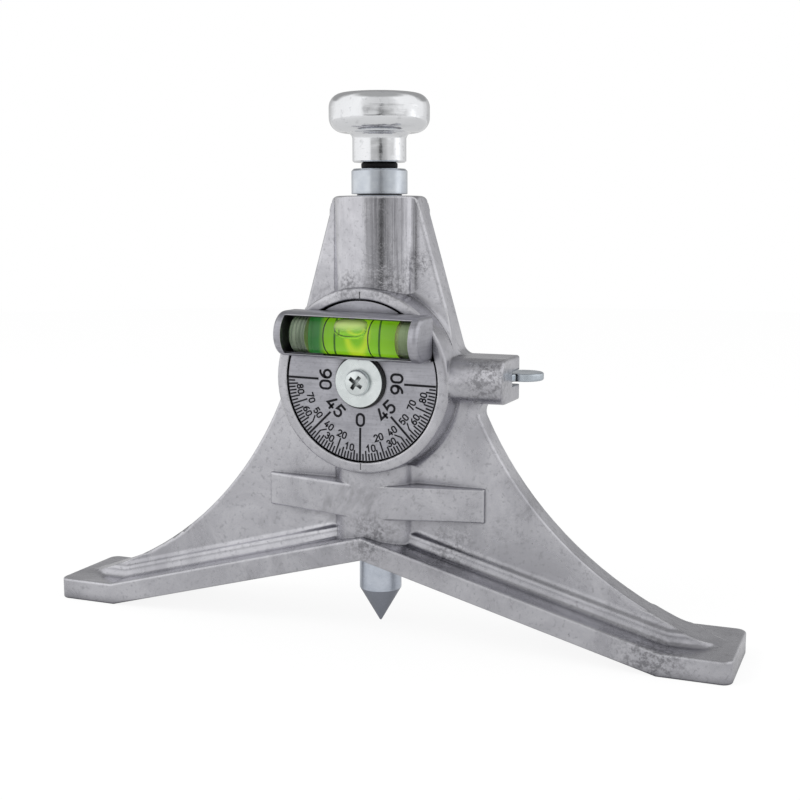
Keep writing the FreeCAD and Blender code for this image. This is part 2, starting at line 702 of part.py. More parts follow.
def spring_clip():
    """Open retaining ring in the rod's groove, which the spring pushes down."""
    z_span = (CLIP_Z, CLIP_Z + CLIP_THICKNESS)
    inner = ROD_RADIUS - CLIP_GROOVE_DEPTH + SEAT_CLEARANCE
    ring = post(CLIP_RADIUS, z_span).cut(post(inner, z_span))
    mouth = box((0, CLIP_RADIUS + PAST), (-CLIP_MOUTH / 2, CLIP_MOUTH / 2), z_span)
    return ring.cut(mouth)


def return_spring():
    """Coil between the clip and the collar's spigot, which returns the punch."""
    wire_radius = SPRING_WIRE / 2
    low = CLIP_Z + CLIP_THICKNESS + wire_radius + SEAT_CLEARANCE
    height = SPIGOT_BOTTOM_Z - wire_radius - SEAT_CLEARANCE - low
    helix = Part.makeHelix(height / SPRING_TURNS, height, SPRING_RADIUS)
    helix.translate(V(0, 0, low))
    section = Part.Wire(Part.makeCircle(wire_radius, V(SPRING_RADIUS, 0, low), Y_AXIS))
    return Part.Wire(helix).makePipeShell([section], True, True)


def guide_collar():
    """Steel collar on the tower, with a spigot down into the casting that guides the rod."""
    spigot = CHAMBER_RADIUS - SEAT_CLEARANCE
    collar = turned([
        (0, SPIGOT_BOTTOM_Z),
        (spigot, SPIGOT_BOTTOM_Z),
        (spigot, TOWER_TOP_Z),
        (COLLAR_RADIUS - COLLAR_UNDERCUT, TOWER_TOP_Z),
        (COLLAR_RADIUS - COLLAR_UNDERCUT, COLLAR_BOTTOM_Z),
        (COLLAR_RADIUS, COLLAR_BOTTOM_Z),
        (COLLAR_RADIUS, COLLAR_TOP_Z - COLLAR_CHAMFER),
        (COLLAR_RADIUS - COLLAR_CHAMFER, COLLAR_TOP_Z),
        (0, COLLAR_TOP_Z),
    ])
    return collar.cut(post(ROD_BORE_RADIUS, (SPIGOT_BOTTOM_Z - PAST, COLLAR_TOP_Z + PAST)))


def bumper_ring():
    """Black rubber ring that the knob's neck comes down on."""
    inner = ROD_RADIUS + RUNNING_CLEARANCE * 2
    return turned([
        (inner, COLLAR_TOP_Z),
        (BUMPER_RADIUS, COLLAR_TOP_Z, BUMPER_ROUNDING),
        (BUMPER_RADIUS, KNOB_BOTTOM_Z - SEAT_CLEARANCE, BUMPER_ROUNDING),
        (inner, KNOB_BOTTOM_Z - SEAT_CLEARANCE),
    ])


# Dial and vial

def holder_bar(x_span):
    """Bar along X with a round front and a flat back, on the holder's axis."""
    start = x_span[0]
    low = HOLDER_Z - HOLDER_RADIUS
    high = HOLDER_Z + HOLDER_RADIUS
    front_y = HOLDER_AXIS_Y - HOLDER_RADIUS
    outline = Part.Wire([
        line(V(start, HOLDER_AXIS_Y, high), V(start, HOLDER_BACK_Y, high)),
        line(V(start, HOLDER_BACK_Y, high), V(start, HOLDER_BACK_Y, low)),
        line(V(start, HOLDER_BACK_Y, low), V(start, HOLDER_AXIS_Y, low)),
        arc(V(start, HOLDER_AXIS_Y, low), V(start, front_y, HOLDER_Z), V(start, HOLDER_AXIS_Y, high)),
    ])
    return Part.Face(outline).extrude(V(x_span[1] - start, 0, 0))


def dial_casting():
    """Dial plate with the vial's holder cast on its face."""
    plate = disc(DIAL_RADIUS, (DIAL_FACE_Y, DIAL_BACK_Y))
    bar = holder_bar((-HOLDER_HALF_LENGTH, HOLDER_HALF_LENGTH))
    ends = edges_where(bar, lambda e: e.BoundBox.XLength < HAIR and e.BoundBox.YMin < HOLDER_BACK_Y - HAIR)
    bar = bar.makeFillet(HOLDER_END_ROUNDING, ends)
    stem = box(
        (-DIAL_RADIUS, DIAL_RADIUS),
        (HOLDER_BACK_Y - PAST, DIAL_BACK_Y),
        (HOLDER_Z - HOLDER_RADIUS, HOLDER_Z + HOLDER_RADIUS),
    ).common(disc(DIAL_RADIUS, (HOLDER_BACK_Y - PAST, DIAL_BACK_Y)))
    front_y = HOLDER_AXIS_Y - HOLDER_RADIUS - PAST
    window_z = (HOLDER_Z - HOLDER_BORE_RADIUS, HOLDER_Z + HOLDER_BORE_RADIUS)
    waste = [
        rod_x(HOLDER_BORE_RADIUS, (-WINDOW_HALF, WINDOW_HALF), HOLDER_AXIS_Y, HOLDER_Z),
        box((-WINDOW_HALF, WINDOW_HALF), (front_y, HOLDER_AXIS_Y - WINDOW_LIP), window_z),
        box((-WINDOW_STEP_HALF, WINDOW_STEP_HALF), (front_y, HOLDER_AXIS_Y + WINDOW_STEP_BACK), window_z),
        disc(FRICTION_RADIUS + HOLDER_WASHER_GAP, (WASHER_FRONT_Y - HOLDER_WASHER_GAP, DIAL_FACE_Y)),
        disc(SCREW_RADIUS + RUNNING_CLEARANCE, (DIAL_FACE_Y - PAST, DIAL_BACK_Y + PAST)),
    ]
    return turned_dial(fused(plate, bar, stem).cut(waste).removeSplitter())


def stroke(inner, outer, width, degrees):
    """One painted stroke along a radius of the dial, at an angle from the foot of the dial."""
    shape = box(
        (-width / 2, width / 2),
        (DIAL_FACE_Y - INK_THICKNESS, DIAL_FACE_Y),
        (DIAL_Z - outer, DIAL_Z - inner),
    )
    shape.rotate(V(0, 0, DIAL_Z), Y_AXIS, -degrees)
    return shape


def stroke_length(degrees):
    size = abs(degrees)
    if size in MAJOR_ANGLES:
        return TICK_MAJOR
    if size in TALL_ANGLES:
        return TICK_TALL
    if size in BENT_ANGLES:
        return TICK_BENT
    if size % 10 == 0:
        return TICK_TEN
    if size % 5 == 0:
        return TICK_FIVE
    return TICK_FINE


def dial_scale():
    rim = DIAL_RADIUS - TICK_RIM_GAP
    count = int(round(2 * SCALE_SPAN / SCALE_STEP))
    strokes = []
    for index in range(count + 1):
        angle = SCALE_STEP * index - SCALE_SPAN
        width = INK_WIDTH_MAJOR if abs(angle) in MAJOR_ANGLES else INK_WIDTH
        strokes.append(stroke(rim - stroke_length(angle), rim, width, angle))
    return turned_dial(Part.makeCompound(strokes))


def vial_tube():
    x_span = (VIAL_LEFT_X, VIAL_RIGHT_X)
    tube = rod_x(VIAL_RADIUS, x_span, HOLDER_AXIS_Y, HOLDER_Z)
    return turned_dial(tube.cut(rod_x(VIAL_BORE_RADIUS, x_span, HOLDER_AXIS_Y, HOLDER_Z)))


def vial_plugs():
    radius = VIAL_BORE_RADIUS - SEAT_CLEARANCE
    left = rod_x(radius, (VIAL_LEFT_X, VIAL_LEFT_X + VIAL_PLUG_LENGTH), HOLDER_AXIS_Y, HOLDER_Z)
    right = rod_x(radius, (VIAL_RIGHT_X - VIAL_PLUG_LENGTH, VIAL_RIGHT_X), HOLDER_AXIS_Y, HOLDER_Z)
    return turned_dial(Part.makeCompound([left, right]))


def vial_lines():
    """Two black rings inside the tube's bore that the bubble is read between."""
    outer = VIAL_BORE_RADIUS - SEAT_CLEARANCE
    rings = []
    for x in (-VIAL_LINE_X, VIAL_LINE_X):
        x_span = (x - VIAL_LINE_WIDTH / 2, x + VIAL_LINE_WIDTH / 2)
        inner = rod_x(outer - VIAL_LINE_THICKNESS, x_span, HOLDER_AXIS_Y, HOLDER_Z)
        rings.append(rod_x(outer, x_span, HOLDER_AXIS_Y, HOLDER_Z).cut(inner))
    return turned_dial(Part.makeCompound(rings))


def vial_fluid():
    """Liquid between the plugs, inside the two black rings, with the bubble's hollow along its top."""
    radius = VIAL_BORE_RADIUS - VIAL_LINE_THICKNESS - 2 * SEAT_CLEARANCE
    x_span = (
        VIAL_LEFT_X + VIAL_PLUG_LENGTH + SEAT_CLEARANCE,
        VIAL_RIGHT_X - VIAL_PLUG_LENGTH - SEAT_CLEARANCE,
    )
    fluid = rod_x(radius, x_span, HOLDER_AXIS_Y, HOLDER_Z)
    bubble_z = HOLDER_Z + radius - BUBBLE_RADIUS + BUBBLE_TOP_CUT
    reach = BUBBLE_HALF_LENGTH - BUBBLE_RADIUS
    bubble = fused(
        rod_x(BUBBLE_RADIUS, (BUBBLE_X - reach, BUBBLE_X + reach), HOLDER_AXIS_Y, bubble_z),
        Part.makeSphere(BUBBLE_RADIUS, V(BUBBLE_X - reach, HOLDER_AXIS_Y, bubble_z)),
        Part.makeSphere(BUBBLE_RADIUS, V(BUBBLE_X + reach, HOLDER_AXIS_Y, bubble_z)),
    )
    return turned_dial(fluid.cut(bubble))


def pivot_screw():
    """Cross-recessed pan-head screw that holds the dial."""
    shank_end = SEAT_FLOOR_Y + SCREW_ENGAGEMENT - SCREW_END_GAP
    length = shank_end - WASHER_FRONT_Y
    screw = turned(
        [
            (0, 0),
            (SCREW_RADIUS, 0),
            (SCREW_RADIUS, length),
            (SCREW_HEAD_RADIUS, length),
            (SCREW_HEAD_RADIUS, length + SCREW_HEAD_HEIGHT - SCREW_DOME, SCREW_DOME),
            (0, length + SCREW_HEAD_HEIGHT),
        ],
        V(0, shank_end, DIAL_Z),
        -Y_AXIS,
    )
    head_front = WASHER_FRONT_Y - SCREW_HEAD_HEIGHT
    y_span = (head_front - PAST, head_front + CROSS_DEPTH)
    long_half = CROSS_LENGTH / 2
    short_half = CROSS_WIDTH / 2
    upright = box((-short_half, short_half), y_span, (DIAL_Z - long_half, DIAL_Z + long_half))
    level = box((-long_half, long_half), y_span, (DIAL_Z - short_half, DIAL_Z + short_half))
    recess = upright.fuse(level)
    recess.rotate(V(0, 0, DIAL_Z), Y_AXIS, CROSS_TURN)
    return screw.cut(recess)


def pivot_washer():
    """Plated washer under the screw's head, with a small notch at its top edge."""
    y_span = (WASHER_FRONT_Y, WASHER_BACK_Y)
    washer = disc(WASHER_RADIUS, y_span).cut(disc(SCREW_RADIUS + RUNNING_CLEARANCE, y_span))
    top = DIAL_Z + WASHER_RADIUS
    notch = polygon([
        V(0, WASHER_FRONT_Y, top - WASHER_NOTCH),
        V(WASHER_NOTCH, WASHER_FRONT_Y, top + WASHER_NOTCH),
        V(-WASHER_NOTCH, WASHER_FRONT_Y, top + WASHER_NOTCH),
    ]).extrude(V(0, WASHER_THICKNESS, 0))
    return washer.cut(notch)


def friction_washer():
    y_span = (WASHER_BACK_Y, WASHER_BACK_Y + FRICTION_THICKNESS)
    return disc(FRICTION_RADIUS, y_span).cut(disc(SCREW_RADIUS + RUNNING_CLEARANCE, y_span))


def cone_washer():
    """Coned spring washer behind the dial, which keeps it turning stiffly."""
    return turned(
        [
            (CONE_WASHER_INNER, CONE_WASHER_HEIGHT - CONE_WASHER_SHEET),
            (CONE_WASHER_OUTER, 0),
            (CONE_WASHER_OUTER, CONE_WASHER_SHEET),
            (CONE_WASHER_INNER, CONE_WASHER_HEIGHT),
        ],
        V(0, SEAT_FLOOR_Y, DIAL_Z),
        -Y_AXIS,
    )


# Lock lever

def cam_centre():
    offset = polar(CAM_OFFSET, CAM_REST_ANGLE)
    return V(LEVER_PIN_X + offset.x, LEVER_PIN_Y + offset.y, 0)


def lock_lever():
    """Flat lever: an eccentric round the pin, a neck and a round thumb tab."""
    z_span = (LEVER_Z - LEVER_THICKNESS / 2, LEVER_Z + LEVER_THICKNESS / 2)
    pin = V(LEVER_PIN_X, LEVER_PIN_Y, z_span[0])
    tab = V(TAB_X, TAB_Y, z_span[0])
    along = (tab - pin).normalize()
    side = V(along.y, -along.x, 0) * (LEVER_NECK_WIDTH / 2)
    neck = polygon([pin + side, tab + side, tab - side, pin - side]).extrude(V(0, 0, LEVER_THICKNESS))
    centre = cam_centre()
    plate = fused(
        neck,
        post(CAM_RADIUS, z_span, centre.x, centre.y),
        post(TAB_RADIUS, z_span, TAB_X, TAB_Y),
    )
    rims = edges_where(plate, lambda e: e.BoundBox.ZLength < HAIR)
    plate = plate.makeFillet(LEVER_EDGE_RADIUS, rims)
    return plate.cut(post(LEVER_PIN_RADIUS + RUNNING_CLEARANCE, z_span, LEVER_PIN_X, LEVER_PIN_Y))


def lever_pin():
    z_span = (pin_bottom_z(), pin_top_z() - SEAT_CLEARANCE)
    return post(LEVER_PIN_RADIUS - SEAT_CLEARANCE, z_span, LEVER_PIN_X, LEVER_PIN_Y)


def lever_spacers():
    """Two washers that centre the lever in its pocket."""
    height = (POCKET_HEIGHT - LEVER_THICKNESS) / 2 - 2 * SEAT_CLEARANCE
    hole = LEVER_PIN_RADIUS + SEAT_CLEARANCE
    spacers = []
    for low in (POCKET_BOTTOM_Z, POCKET_BOTTOM_Z + POCKET_HEIGHT - height):
        z_span = (low, low + height)
        washer = post(SPACER_RADIUS, z_span, LEVER_PIN_X, LEVER_PIN_Y)
        spacers.append(washer.cut(post(hole, z_span, LEVER_PIN_X, LEVER_PIN_Y)))
    return Part.makeCompound(spacers)


def lock_shoe():
    """Brass shoe that the lever's eccentric pushes onto the dial's rim."""
    start = DIAL_RADIUS + SHOE_DIAL_GAP
    end = cam_centre().x - CAM_RADIUS - SHOE_CAM_GAP
    return rod_x(SHOE_RADIUS, (start, end), SHOE_Y, LEVER_Z)


NODES = {
    "body_casting": body_casting,
    "guide_collar": guide_collar,
    "bumper_ring": bumper_ring,
    "punch": punch,
    "strike_knob": strike_knob,
    "spring_clip": spring_clip,
    "return_spring": return_spring,
    "dial_casting": dial_casting,
    "dial_scale": dial_scale,
    "vial_tube": vial_tube,
    "vial_plugs": vial_plugs,
    "vial_lines": vial_lines,
    "vial_fluid": vial_fluid,
    "pivot_screw": pivot_screw,
    "pivot_washer": pivot_washer,
    "friction_washer": friction_washer,
    "cone_washer": cone_washer,
    "lock_lever": lock_lever,
    "lever_pin": lever_pin,
    "lever_spacers": lever_spacers,
    "lock_shoe": lock_shoe,
}


def main():
    os.makedirs("parts", exist_ok=True)
    for name, build in NODES.items():
        shape = build()
        shape.exportStep("parts/" + name + ".step")
        print(name, len(shape.Solids), "solids", round(shape.Volume, 1), "mm3", "valid", shape.isValid())


main()
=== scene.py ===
import math

import bmesh
import bpy
from mathutils import Matrix, Vector


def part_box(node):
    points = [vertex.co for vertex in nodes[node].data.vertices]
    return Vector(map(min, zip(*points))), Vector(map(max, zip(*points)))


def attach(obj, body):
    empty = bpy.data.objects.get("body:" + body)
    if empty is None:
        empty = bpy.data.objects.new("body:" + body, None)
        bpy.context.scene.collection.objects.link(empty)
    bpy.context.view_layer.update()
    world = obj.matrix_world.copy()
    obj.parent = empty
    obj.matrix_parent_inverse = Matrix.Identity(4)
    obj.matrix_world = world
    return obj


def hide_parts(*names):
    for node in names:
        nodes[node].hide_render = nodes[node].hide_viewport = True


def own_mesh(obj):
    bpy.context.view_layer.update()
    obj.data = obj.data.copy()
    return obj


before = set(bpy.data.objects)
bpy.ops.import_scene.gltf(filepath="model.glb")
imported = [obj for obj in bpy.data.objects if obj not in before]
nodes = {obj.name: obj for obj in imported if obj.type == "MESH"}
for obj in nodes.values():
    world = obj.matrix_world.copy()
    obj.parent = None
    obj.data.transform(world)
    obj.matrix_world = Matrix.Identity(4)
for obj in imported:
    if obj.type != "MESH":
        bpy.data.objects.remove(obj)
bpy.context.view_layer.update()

MM = 0.001
DIAL_Z = 66.7 * MM
DIAL_FACE_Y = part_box("dial_scale")[1].y
DIAL_TURN = 1.0  # how far the dial stands turned clockwise, seen from the front
INK = 0.06 * MM  # how far the dial's paint stands proud
COLLAR_FOOT_Z = 113.5 * MM
CONE_TOP_Z = 10.2 * MM

# Camera, in the part's own frame
CAMERA_PLACE = Vector((129.87, -304.58, 108.08)) * MM
CAMERA_YAW = 22.195
CAMERA_PITCH = 8.436
CAMERA_ROLL = -0.04
SENSOR_WIDTH = 36.0
LENS = 57.57
SHIFT_Y = 0.0065

# Vial, turned with the dial: its axis, its tube and the liquid between its plugs
VIAL_Z = 78.6 * MM
tube_low, tube_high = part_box("vial_tube")
fluid_low, fluid_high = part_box("vial_fluid")
VIAL_Y = (tube_low.y + tube_high.y) / 2
VIAL_RADIUS = (tube_high.y - tube_low.y) / 2
FLUID_RADIUS = (fluid_high.y - fluid_low.y) / 2
TUBE_SPAN = (-15.06 * MM, 16.94 * MM)
FLUID_SPAN = (-11.14 * MM, 13.02 * MM)
FLUID_SKIN = 0.3 * MM  # over how much depth the liquid turns from clear in front to dyed behind
VIAL_LINE_X = 6.0 * MM
FAR_LINE_SHIFT = 1.3 * MM  # how far to the right the rings' far sides show through the liquid
GLOW_PLACE = (1.4 * MM, 78.4 * MM)  # centre of the bright loop under the bubble, in X and Z
GLOW_RADIUS = 1.7 * MM
GLOW_WIDTH = (0.75 * MM, 0.15 * MM)
GLOW_TOP = (1.6 * MM, 0.6 * MM)
GLOW_SHAPE = 0.64
GLEAM_SPAN = (0.9 * MM, 2.4 * MM)  # heights above the vial's axis over which the bubble is painted white, as a reflection


# Node helpers

BEVEL_SAMPLES = 6
CREVICE_SAMPLES = 8
WEAR_AND_HIGHLIGHT_BEND = (0.995, 0.94)  # how far the rounded normal turns from the face's own along an edge brightened as wear and painted highlight
WEAR_AND_HIGHLIGHT_AIR = (0.72, 0.92)


class Nodes:
    """Short way to write a node tree: each call adds one node and returns its output socket."""

    def __init__(self, tree):
        self.tree = tree
        tree.nodes.clear()

    def add(self, kind, inputs=None, **settings):
        node = self.tree.nodes.new(kind)
        for key, value in settings.items():
            setattr(node, key, value)
        for key, value in (inputs or {}).items():
            self.feed(node.inputs[key], value)
        return node

    def feed(self, socket, value):
        if isinstance(value, bpy.types.NodeSocket):
            self.tree.links.new(value, socket)
        elif isinstance(value, (tuple, list)) and len(value) == 3 and len(socket.default_value) == 4:
            socket.default_value = (*value, 1.0)
        else:
            socket.default_value = value

    def place(self):
        return self.add("ShaderNodeTexCoord").outputs["Object"]

    def stretched(self, scale, rotation=(0, 0, 0)):
        node = self.add("ShaderNodeMapping", {"Vector": self.place(), "Scale": scale, "Rotation": rotation})
        return node.outputs["Vector"]

    def noise(self, scale, detail=3.0, rough=0.55, vector=None, distortion=0.0):
        node = self.add("ShaderNodeTexNoise", {
            "Vector": vector or self.place(), "Scale": scale, "Detail": detail, "Roughness": rough,
            "Distortion": distortion,
        })
        return node.outputs["Fac"]

    def ranged(self, value, from_low, from_high, to_low, to_high):
        node = self.add("ShaderNodeMapRange", {
            "Value": value, "From Min": from_low, "From Max": from_high, "To Min": to_low, "To Max": to_high,
        })
        return node.outputs["Result"]

    def maths(self, operation, a, b=0.0, clamp=False):
        node = self.add("ShaderNodeMath", {0: a, 1: b}, operation=operation, use_clamp=clamp)
        return node.outputs[0]

    def mix(self, factor, a, b):
        node = self.add("ShaderNodeMix", data_type="RGBA")
        self.feed(node.inputs["Factor"], factor)
        self.feed(node.inputs["A"], a)
        self.feed(node.inputs["B"], b)
        return next(s for s in node.outputs if s.type == "RGBA")

    def tint(self, tone, value, span, strength, colour):
        """Tone that takes a colour, to the given strength, as value goes from end to end of span."""
        return self.mix(self.ranged(value, *span, 0.0, strength), tone, colour)

    def bevel(self, radius):
        return self.add("ShaderNodeBevel", {"Radius": radius}, samples=BEVEL_SAMPLES).outputs["Normal"]

    def bump(self, height, strength, distance, normal=None):
        inputs = {"Height": height, "Strength": strength, "Distance": distance}
        if normal is not None:
            inputs["Normal"] = normal
        return self.add("ShaderNodeBump", inputs).outputs["Normal"]

    def crevice(self, distance):
        """Bright where the surface is open, dark in its corners, judged over the given distance."""
        node = self.add("ShaderNodeAmbientOcclusion", {"Distance": distance}, samples=CREVICE_SAMPLES)
        return node.outputs["AO"]

    def axis(self, name):
        return self.add("ShaderNodeSeparateXYZ", {"Vector": self.place()}).outputs[name]

    def length(self, vector):
        return self.add("ShaderNodeVectorMath", {0: vector}, operation="LENGTH").outputs["Value"]

    def near(self, place, reach):
        """One at a place in millimetres, falling to nought at the given reach."""
        away = self.add("ShaderNodeVectorMath", {0: self.place(), 1: tuple(v * MM for v in place)},
                        operation="DISTANCE").outputs["Value"]
        return self.ranged(away, 0.0, reach * MM, 1.0, 0.0)

    def worn_edge(self, soft, open_air):
        """One along outward edges, nought on faces and in corners."""
        facet = self.add("ShaderNodeNewGeometry").outputs["True Normal"]
        bend = self.add("ShaderNodeVectorMath", {0: soft, 1: facet}, operation="DOT_PRODUCT").outputs["Value"]
        bent = self.ranged(bend, *WEAR_AND_HIGHLIGHT_BEND, 0.0, 1.0)
        return self.maths("MULTIPLY", bent, self.ranged(open_air, *WEAR_AND_HIGHLIGHT_AIR, 0.0, 1.0))

    def ray(self, *kinds):
        """One for rays of the named kinds."""
        path = self.add("ShaderNodeLightPath")
        if len(kinds) == 1:
            return path.outputs[kinds[0]]
        return self.maths("MAXIMUM", *(path.outputs[kind] for kind in kinds))

    def principled(self, **inputs):
        return self.add("ShaderNodeBsdfPrincipled", {key.replace("_", " "): v for key, v in inputs.items()})

    def blend(self, factor, a, b):
        return self.add("ShaderNodeMixShader", {0: factor, 1: a.outputs[0], 2: b.outputs[0]})

    def finish(self, shader):
        out = self.add("ShaderNodeOutputMaterial")
        self.tree.links.new(shader.outputs[0], out.inputs["Surface"])


def new_material(name, viewport):
    material = bpy.data.materials.new(name)
    material.use_nodes = True
    material.diffuse_color = (*viewport, 1.0)
    return material, Nodes(material.node_tree)


def dress(piece, material):
    piece.data.materials.clear()
    piece.data.materials.append(material)


# Materials

# Rubbed, darkened patches on the casting: place in millimetres and reach
SCUFFED = (
    ((33.0, -12.0, 69.0), 9.0),
    ((-4.0, -11.0, 90.0), 6.0),
    ((7.0, -9.0, 90.0), 8.0),
    ((12.0, -4.0, 96.0), 5.0),
    ((2.0, -11.0, 26.0), 9.0),
    ((75.0, -13.0, 4.0), 12.0),
    ((22.0, -8.0, 24.0), 9.0),
)
BARREL_SKIN = (12.6 * MM, 11.7 * MM)  # the barrel's drawn lines come in between these distances from its axis
BARREL_RISE = (80.0 * MM, 90.0 * MM)  # and between these heights
STREAK_SHADE_ACROSS = (-1.0 * MM, 4.0 * MM)  # painted shade: they get stronger from left to right across the barrel, towards its darker side
BARREL_GLOSS = 0.55
MIDDLE = (0.35, 0.65)  # where most of a noise lies


def cast_aluminium():
    """Tumbled casting: cloudy satin grey, edges brighter partly from wear and partly as painted highlight,
    drawn lines up its barrel with painted shade, and painted shade in its corners.
    """
    material, n = new_material("cast_aluminium", (0.5, 0.5, 0.52))
    soft = n.bevel(0.7 * MM)
    open_air = n.crevice(4.0 * MM)
    cloud = n.noise(60.0, 5.0, 0.65, distortion=0.5)
    smudge = n.noise(34.0, 6.0, 0.72, distortion=0.8)
    grain = n.noise(900.0, 3.0, 0.6)
    specks = n.noise(1300.0, 2.0, 0.5)
    lines = n.noise(1.0, 4.0, 0.7, n.stretched((1500.0, 1500.0, 35.0)))
    scuffs = n.noise(850.0, 5.0, 0.75)
    from_axis = n.length(n.stretched((1.0, 1.0, 0.0)))
    on_barrel = n.maths("MULTIPLY", n.ranged(from_axis, *BARREL_SKIN, 0.0, 1.0),
                        n.ranged(n.axis("Z"), *BARREL_RISE, 0.0, 1.0))
    tone = n.tint((0.48, 0.478, 0.512), cloud, (0.36, 0.64), 1.0, (0.655, 0.652, 0.69))
    tone = n.tint(tone, smudge, (0.44, 0.34), 0.55, (0.30, 0.30, 0.32))
    tone = n.tint(tone, grain, (0.44, 0.32), 0.45, (0.33, 0.33, 0.35))
    tone = n.tint(tone, specks, (0.27, 0.22), 0.7, (0.12, 0.12, 0.13))
    # the barrel's drawn lines: partly surface marks, and painted shade where they grow darker towards the
    # right
    drawn = n.maths("MULTIPLY", on_barrel, n.ranged(n.axis("X"), *STREAK_SHADE_ACROSS, 0.10, 0.9))
    drawn = n.maths("MULTIPLY", drawn, n.ranged(lines, 0.50, 0.36, 0.0, 0.75))
    tone = n.mix(drawn, tone, (0.24, 0.24, 0.26))
    for place, reach in SCUFFED:
        rubbed = n.maths("MULTIPLY", n.near(place, reach), n.ranged(scuffs, 0.56, 0.40, 0.0, 1.6), clamp=True)
        tone = n.mix(n.maths("MULTIPLY", rubbed, 0.6), tone, (0.10, 0.10, 0.11))
    # painted shade: darker in corners and hollows
    tone = n.tint(tone, open_air, (0.86, 0.30), 0.88, (0.085, 0.085, 0.10))
    # brighter along outward edges: partly wear, partly painted highlight
    tone = n.mix(n.maths("MULTIPLY", n.worn_edge(soft, open_air), 0.6), tone, (0.85, 0.85, 0.87))
    waves = n.bump(n.noise(50.0, 2.0, 0.5), 0.5, 0.8 * MM, soft)
    skin = n.bump(grain, 0.35, 0.10 * MM, waves)
    gloss = n.ranged(on_barrel, 0.0, 1.0, 1.0, BARREL_GLOSS)
    rough = n.maths("MULTIPLY", n.ranged(cloud, 0.3, 0.7, 0.30, 0.22), gloss)
    n.finish(n.principled(Base_Color=tone, Metallic=1.0, Roughness=rough, Normal=skin))
    return material


def machined_aluminium():
    """Dial: finer and darker than the casting, with faint level streaks."""
    material, n = new_material("machined_aluminium", (0.42, 0.42, 0.45))
    soft = n.bevel(0.35 * MM)
    open_air = n.crevice(2.5 * MM)
    cloud = n.noise(150.0, 4.0, 0.6)
    streak = n.noise(1.0, 3.0, 0.6, n.stretched((90.0, 90.0, 2400.0)))
    grain = n.noise(1500.0, 3.0, 0.6)
    tone = n.tint((0.42, 0.42, 0.46), cloud, MIDDLE, 1.0, (0.53, 0.53, 0.575))
    tone = n.tint(tone, streak, (0.55, 0.35), 0.35, (0.28, 0.28, 0.31))
    tone = n.tint(tone, grain, (0.45, 0.30), 0.5, (0.27, 0.27, 0.29))
    # painted shade: darker in corners and hollows
    tone = n.tint(tone, open_air, (0.85, 0.30), 0.92, (0.05, 0.05, 0.06))
    # brighter along outward edges: partly wear, partly painted highlight
    tone = n.mix(n.maths("MULTIPLY", n.worn_edge(soft, open_air), 0.5), tone, (0.80, 0.80, 0.83))
    skin = n.bump(streak, 0.12, 0.05 * MM, soft)
    skin = n.bump(grain, 0.3, 0.06 * MM, skin)
    rough = n.ranged(cloud, 0.3, 0.7, 0.36, 0.30)
    n.finish(n.principled(Base_Color=tone, Metallic=1.0, Roughness=rough, Normal=skin))
    return material


def steel(
    name, colour, dark, rough, ring=(300.0, 300.0, 4000.0), bump=0.10, bevel=0.25, joint=1.0, tip=None,
    below=(0.35, 0.37, 0.42),
):
    """Turned steel with fine tool marks and painted shade in its seams, recesses and gaps, and another tone
    below the height of its tip.
    """
    material, n = new_material(name, colour)
    soft = n.bevel(bevel * MM)
    marks = n.noise(1.0, 3.0, 0.6, n.stretched(ring))
    cloud = n.noise(260.0, 3.0, 0.6)
    tone = n.tint(dark, cloud, MIDDLE, 1.0, colour)
    if tip is not None:
        tone = n.tint(tone, n.axis("Z"), (tip, tip - 0.1 * MM), 1.0, below)
    # painted shade: darker in seams, recesses and gaps
    tone = n.tint(tone, n.crevice(joint * MM), (0.75, 0.25), 0.9, (0.05, 0.055, 0.06))
    skin = n.bump(marks, bump, 0.04 * MM, soft)
    uneven = n.ranged(marks, 0.3, 0.7, rough * 0.85, rough * 1.15)
    n.finish(n.principled(Base_Color=tone, Metallic=1.0, Roughness=uneven, Normal=skin))
    return material


def chrome():
    """Polished knob with the slight waves of hand polishing, fine scratches and a few dull spots."""
    material, n = new_material("polished_chrome", (0.85, 0.86, 0.88))
    scratch = n.noise(1.0, 4.0, 0.7, n.stretched((260.0, 260.0, 2600.0), (0.35, 0.25, 0.0)))
    haze = n.noise(210.0, 4.0, 0.65)
    spots = n.noise(520.0, 3.0, 0.6)
    tone = n.tint((0.87, 0.88, 0.90), spots, (0.40, 0.30), 0.5, (0.60, 0.61, 0.63))
    tone = n.tint(tone, scratch, (0.38, 0.30), 0.35, (0.45, 0.46, 0.48))
    waves = n.bump(n.noise(95.0, 3.0, 0.55), 0.5, 0.45 * MM)
    skin = n.bump(scratch, 0.10, 0.05 * MM, waves)
    rough = n.ranged(haze, *MIDDLE, 0.05, 0.16)
    n.finish(n.principled(Base_Color=tone, Metallic=1.0, Roughness=rough, Normal=skin))
    return material


def matte(name, colour, rough, grain_scale, gloss=0.5):
    """Matte black or painted surface with a fine uneven grain."""
    material, n = new_material(name, colour)
    grain = n.noise(grain_scale, 3.0, 0.6)
    lighter = tuple(min(1.0, c * 1.9 + 0.004) for c in colour)
    tone = n.tint(colour, grain, MIDDLE, 1.0, lighter)
    skin = n.bump(grain, 0.2, 0.03 * MM)
    uneven = n.ranged(grain, 0.3, 0.7, rough * 0.9, rough * 1.1)
    n.finish(n.principled(Base_Color=tone, Roughness=uneven, Normal=skin, Specular_IOR_Level=gloss))
    return material


def lit_through(n, body, colour):
    """Shader that looks like its body but lets the lamps' light through without a black shadow."""
    through = n.add("ShaderNodeBsdfTransparent", {"Color": colour})
    return n.blend(n.ray("Is Shadow Ray", "Is Diffuse Ray"), body, through)


def clear_glass(name, colour, ior):
    """Clear plastic with a trace of haze."""
    material, n = new_material(name, colour)
    haze = n.ranged(n.noise(900.0, 2.0, 0.5), 0.3, 0.7, 0.0, 0.03)
    glass = n.principled(Base_Color=colour, Roughness=haze, IOR=ior, Transmission_Weight=1.0)
    n.finish(lit_through(n, glass, colour))
    return material


